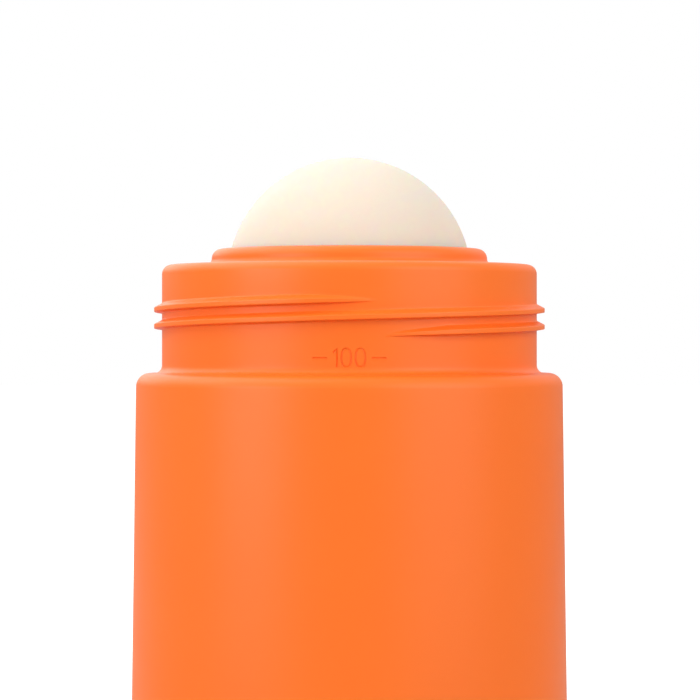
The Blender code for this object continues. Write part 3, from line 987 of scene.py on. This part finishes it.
class APPLICATOR_OT_stage(bpy.types.Operator):
    """Camera, pale floor, soft lamps and white surroundings"""

    bl_idname = "applicator.stage"
    bl_label = "Stage"

    def execute(self, context):
        stage = context.scene.applicator_stage
        self.add_camera(context, stage)
        self.add_floor(context, stage)
        self.add_world(context, stage)
        for name, (place, width, height) in LAMPS.items():
            self.add_lamp(context, name, getattr(stage, name), Vector(place), width, height)
        context.scene.view_settings.view_transform = "Standard"
        return {"FINISHED"}

    def add_camera(self, context, stage):
        """A level camera in front that looks along +Y."""
        data = bpy.data.cameras.new("camera")
        data.lens = stage.lens
        data.shift_y = stage.camera_shift
        camera = bpy.data.objects.new("camera", data)
        camera.location = (stage.camera_side, -stage.camera_distance, stage.camera_height)
        camera.rotation_euler = (LEVEL, 0, 0)
        context.scene.collection.objects.link(camera)
        context.scene.camera = camera

    def add_lamp(self, context, name, watts, place, width, height):
        """A soft box that faces the container's middle."""
        data = bpy.data.lights.new(name, "AREA")
        data.shape = "RECTANGLE"
        data.size = width
        data.size_y = height
        data.energy = watts
        lamp = bpy.data.objects.new(name, data)
        lamp.location = place
        middle = (CAD_BOX[0] + CAD_BOX[1]) / 2
        lamp.rotation_euler = (middle - place).to_track_quat("-Z", "Y").to_euler()
        context.scene.collection.objects.link(lamp)

    def add_floor(self, context, stage):
        """A round pale floor that shows white to the camera where no shadow falls.

        It rides with the gasket, so that the base still stands on it when it is unscrewed.
        """
        bm = bmesh.new()
        bmesh.ops.create_circle(bm, cap_ends=True, segments=FLOOR_SEGMENTS, radius=stage.floor_radius)
        floor = finished("floor", bm)
        material = bpy.data.materials.new("floor_pale")
        material.use_nodes = True
        nodes, links = material.node_tree.nodes, material.node_tree.links
        shader = nodes["Principled BSDF"]
        tone = stage.floor_tone
        shader.inputs["Base Color"].default_value = (tone, tone, tone, 1)
        shader.inputs["Roughness"].default_value = 1
        shader.inputs["Specular IOR Level"].default_value = 0
        shader.inputs["Emission Color"].default_value = (1, 1, 1, 1)
        place = nodes.new("ShaderNodeTexCoord")
        reach = nodes.new("ShaderNodeVectorMath")
        reach.operation = "LENGTH"
        links.new(place.outputs["Object"], reach.inputs[0])
        fade = nodes.new("ShaderNodeMapRange")
        fade.interpolation_type = "SMOOTHSTEP"
        fade.inputs["From Min"].default_value = CAD_BOX[1].x
        fade.inputs["From Max"].default_value = stage.floor_reach
        fade.inputs["To Min"].default_value = stage.floor_lift
        fade.inputs["To Max"].default_value = 1
        links.new(reach.outputs["Value"], fade.inputs["Value"])
        shown = background_rays(nodes, links, stage.floor_mirrored)
        lift = math_result(nodes, links, "MULTIPLY", shown, fade.outputs["Result"])
        links.new(lift, shader.inputs["Emission Strength"])
        floor.data.materials.append(material)
        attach(floor, "base_gasket")

    def add_world(self, context, stage):
        """Soft light from all round, but white to the camera, let through and, from above, in reflections."""
        world = bpy.data.worlds.new("surroundings")
        world.use_nodes = True
        nodes, links = world.node_tree.nodes, world.node_tree.links
        toward = nodes.new("ShaderNodeTexCoord")
        parts = nodes.new("ShaderNodeSeparateXYZ")
        links.new(toward.outputs["Generated"], parts.inputs[0])
        sky = nodes.new("ShaderNodeMapRange")
        sky.interpolation_type = "SMOOTHSTEP"
        sky.inputs["From Max"].default_value = stage.sky_rise
        links.new(parts.outputs["Z"], sky.inputs["Value"])
        level = nodes.new("ShaderNodeMapRange")
        level.inputs["To Min"].default_value = stage.surroundings
        level.inputs["To Max"].default_value = 1
        links.new(background_rays(nodes, links, sky.outputs["Result"]), level.inputs["Value"])
        background = nodes["Background"]
        background.inputs["Color"].default_value = (1, 1, 1, 1)
        links.new(level.outputs["Result"], background.inputs["Strength"])
        context.scene.world = world


class APPLICATOR_PT_panel(bpy.types.Panel):
    """Lists the applicator's pieces and stage"""

    bl_idname = "APPLICATOR_PT_panel"
    bl_label = "Applicator"
    bl_space_type = "VIEW_3D"
    bl_region_type = "UI"
    bl_category = "Applicator"

    def draw(self, context):
        for operator in OPERATORS:
            self.layout.operator(operator.bl_idname)


GROUPS = {
    "applicator_shell": ShellSizes,
    "applicator_ribs": RibSizes,
    "applicator_mark": MarkSizes,
    "applicator_seat": SeatSizes,
    "applicator_base": BaseSizes,
    "applicator_thread": ThreadSizes,
    "applicator_finishes": Finishes,
    "applicator_stage": StageSizes,
}
OPERATORS = (
    APPLICATOR_OT_shell,
    APPLICATOR_OT_seat,
    APPLICATOR_OT_ball,
    APPLICATOR_OT_base,
    APPLICATOR_OT_gasket,
    APPLICATOR_OT_stage,
)
CLASSES = (*GROUPS.values(), *OPERATORS, APPLICATOR_PT_panel)


def register():
    """Registers the classes and gives every scene the groups of sizes."""
    for cls in CLASSES:
        bpy.utils.register_class(cls)
    for name, group in GROUPS.items():
        setattr(bpy.types.Scene, name, PointerProperty(type=group))


def unregister():
    """Takes the groups and the classes away again."""
    for name in GROUPS:
        delattr(bpy.types.Scene, name)
    for cls in reversed(CLASSES):
        bpy.utils.unregister_class(cls)


def main():
    """Makes the pieces and the stage."""
    register()
    bpy.ops.applicator.shell()
    bpy.ops.applicator.seat()
    bpy.ops.applicator.ball()
    bpy.ops.applicator.base()
    bpy.ops.applicator.gasket()
    bpy.ops.applicator.stage()


if __name__ == "__main__":
    main()
